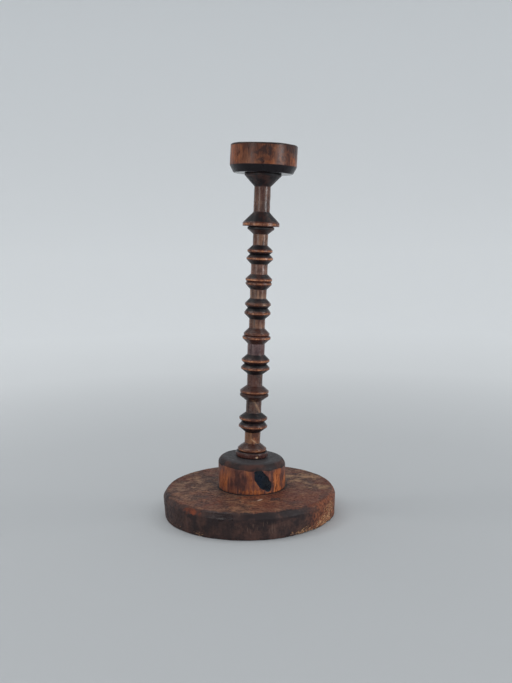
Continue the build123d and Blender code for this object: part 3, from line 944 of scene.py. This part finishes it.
BOARD_AZIMUTH = 0.785  # clear of the screw holes
BOARD_BARE = (
    TopPatch(0.6, 42, 24, 30, 20, 242, 0.1),
    TopPatch(0.55, 58, -4, 16, 12, 258, 0.1),
    TopPatch(0.45, -8, -66, 24, 5, 192, 0.1),
    TopPatch(0.1, -8, -54, 30, 12, 192, 0.1),
    TopPatch(0.3, -46, 26, 24, 18, 154, 0.1),
    TopPatch(0.5, 10, 56, 34, 12, 210, 0.1),
)
BOARD_CHIPS = (
    SidePatch(0.8, 40, 1.5, 18, 4.5, 440, 0.3),
    SidePatch(0.95, 60, 4.0, 18, 8.0, 460, 0.3),
    SidePatch(0.8, 66, 12.0, 14, 8.0, 466, 0.3),
    SidePatch(0.6, -34, 2.2, 7, 2.6, 366, 0.3),
    SidePatch(0.4, -52, 3.5, 8, 2.4, 348, 0.3),
    SidePatch(0.8, 145, 2.0, 18, 4.0, 545, 0.3),
    SidePatch(0.7, -125, 1.5, 14, 3.0, 275, 0.3),
)
BOARD_REDDENED = (
    TopPatch(0.75, -8, -31, 26, 9, 35, 0.1),
    TopPatch(0.5, -38, -18, 22, 14, 46, 0.1),
)
BOARD_DENTS = (
    TopPatch(1.0, 20.8, -34.9, 6.5, 4.5, 37, 0.5),
    TopPatch(0.8, 43, 36, 12, 8, 38, 0.1),
    TopPatch(0.6, -35, -42, 6, 5, 39, 0.5),
)
MARK_PLACE = (8.7 * MM, -36.9 * MM)
MARK_ALONG = (0.77, 0.64)  # the way the pale mark points, seen from above


def board_side(piece, drift):
    """Paint for the board's side and its rounded edge; drift makes the borders wander."""
    top, widest = piece.height.max(), piece.radius.max()
    outer = rise(piece.radius, widest - 3.5 * MM, widest - 1.5 * MM)
    over_edge = rise(piece.radius + drift, widest - 4.8 * MM, widest - 1.6 * MM) * (piece.height > 3 * MM)
    # painted light: the right of the side is lightened and warmed, partly the wood's own orange-brown and
    # partly standing in for light from that side
    right = rise(piece.degrees, 22, 62) * (1 - rise(piece.degrees, 95, 140))
    low = 1 - rise(piece.height + 3 * drift, 4 * MM, 12 * MM)
    deep = np.where(piece.height > 3 * MM, over_edge, outer) * (1 - 0.85 * right) * (1 - 0.15 * low)
    deep = np.maximum(deep, (piece.facing_up < -0.5) * 0.55)
    # painted shade: the side is darkened along its foot, where the board meets the floor
    deep = np.maximum(deep, outer * (1 - rise(piece.height, 0.8 * MM, 1.8 * MM)))
    front = 1 - rise(np.abs(piece.degrees - 6), 26, 42)
    band = over_edge * rise(piece.height + 3 * drift, top - 10 * MM, top - 4 * MM) * (0.2 + 0.8 * front)
    band = band * (0.8 + 0.4 * lumps(piece.points, 16 * MM, 52))
    return {
        "deep": deep,
        "band": band,
        "polish": band * (0.25 + 0.75 * (1 - rise(piece.degrees, -12, 6))),
        "rust": side_patch(piece, -39, top - 2.0 * MM, 10, 5.0 * MM, 34, 0.05) * outer,
        "chips": side_patches(piece, BOARD_CHIPS) * outer,
        "scratch": side_patch(piece, 5, 10 * MM, 30, 8 * MM, 45, 0.1) * outer,
        "warm": right * outer,
    }


def board_top(piece):
    """Paint for the board's top face."""
    x, y = piece.points[:, 0], piece.points[:, 1]
    top_face = piece.facing_up > 0.9
    warm = 0.36 * top_face * rise(-y, -10 * MM, 40 * MM)
    random_dents = rise(lumps(piece.points, 9 * MM, 40), 0.8, 1.0) * top_face * 0.5
    dent = np.maximum(top_patches(piece, BOARD_DENTS), random_dents)
    mark_x, mark_y = x - MARK_PLACE[0], y - MARK_PLACE[1]
    along = MARK_ALONG[0] * mark_x + MARK_ALONG[1] * mark_y
    across = MARK_ALONG[1] * mark_x - MARK_ALONG[0] * mark_y
    return {
        "worn": top_patches(piece, BOARD_BARE),
        "warm": np.maximum(warm, top_patches(piece, BOARD_REDDENED)),
        "dent": dent * (0.75 + 0.5 * lumps(piece.points, 2.6 * MM, 47)),
        "mark": (1 - rise(np.hypot(along / (3.6 * MM), across / (0.9 * MM)), 0.4, 1.0)) * top_face,
    }


def board():
    piece = Turned("base_disc", BOARD, 0.9 * MM, 360, 0.4 * MM, BOARD_AZIMUTH)
    drift = 1.0 * MM * lumps(piece.points, 11 * MM, 50) + 0.6 * MM * lumps(piece.points, 3.5 * MM, 51)
    side, top = board_side(piece, drift), board_top(piece)
    paint = side | top
    paint["warm"] = np.maximum(side["warm"], top["warm"]) * (1 - 0.8 * side["band"])
    x, y = piece.points[:, 0] - BLOCK_CENTRE.x, piece.points[:, 1] - BLOCK_CENTRE.y
    from_block = np.abs(np.hypot(x, y) - BLOCK_RADIUS)
    # painted shadow: a dark ring on the top round the block's foot, added to 'dent'
    contact_shade = (1 - rise(from_block, 1.0 * MM, 2.2 * MM)) * (piece.facing_up > 0.9)
    paint["dent"] = np.maximum(top["dent"], 0.9 * contact_shade)
    uneven = 0.14 * MM * lumps(piece.points, 26 * MM, 42) + 0.05 * MM * lumps(piece.points, 6 * MM, 43)
    splinters = 0.5 * MM * rise(lumps(piece.points, 5 * MM, 44), -0.2, 1.0) * side["chips"]
    hollows = 0.7 * MM * side["chips"] + splinters + 0.35 * MM * top["dent"] + 0.2 * MM * top["mark"]
    resting = (piece.height < 0.4 * MM) & (piece.radius < piece.radius.max() - 3 * MM)
    piece.push(np.where(resting, 0, uneven - hollows))
    piece.points[:, 2] = np.maximum(piece.points[:, 2], 0)
    cut_screw_holes(piece.build("worn_base_disc", board_wood(), "board_wood", **paint))


def hidden_pieces():
    """The dowel and the screws keep their CAD shapes."""
    dowel = Finish("dowel_wood", roughness=0.7)
    grain = dowel.noise(dowel.place(scale=(1, 1, 0.08)), 900, detail=4)
    colour = dowel.ramp(grain, [(0.3, srgb(150, 116, 80)), (0.7, srgb(196, 162, 120))])
    steel = Finish("screw_steel", roughness=0.45)
    steel.shader.inputs["Metallic"].default_value = 1.0
    rust = steel.noise(steel.place(), 700, detail=6)
    metal = steel.ramp(rust, [(0.4, srgb(150, 146, 138)), (0.62, srgb(104, 72, 52))])
    for node, material in (("stem_dowel", dowel.done(colour)), ("base_screws", steel.done(metal))):
        NODES[node].data.materials.clear()
        NODES[node].data.materials.append(material)


camera()
stage()
lights()
board()
block()
ring()
stem()
cup()
hidden_pieces()
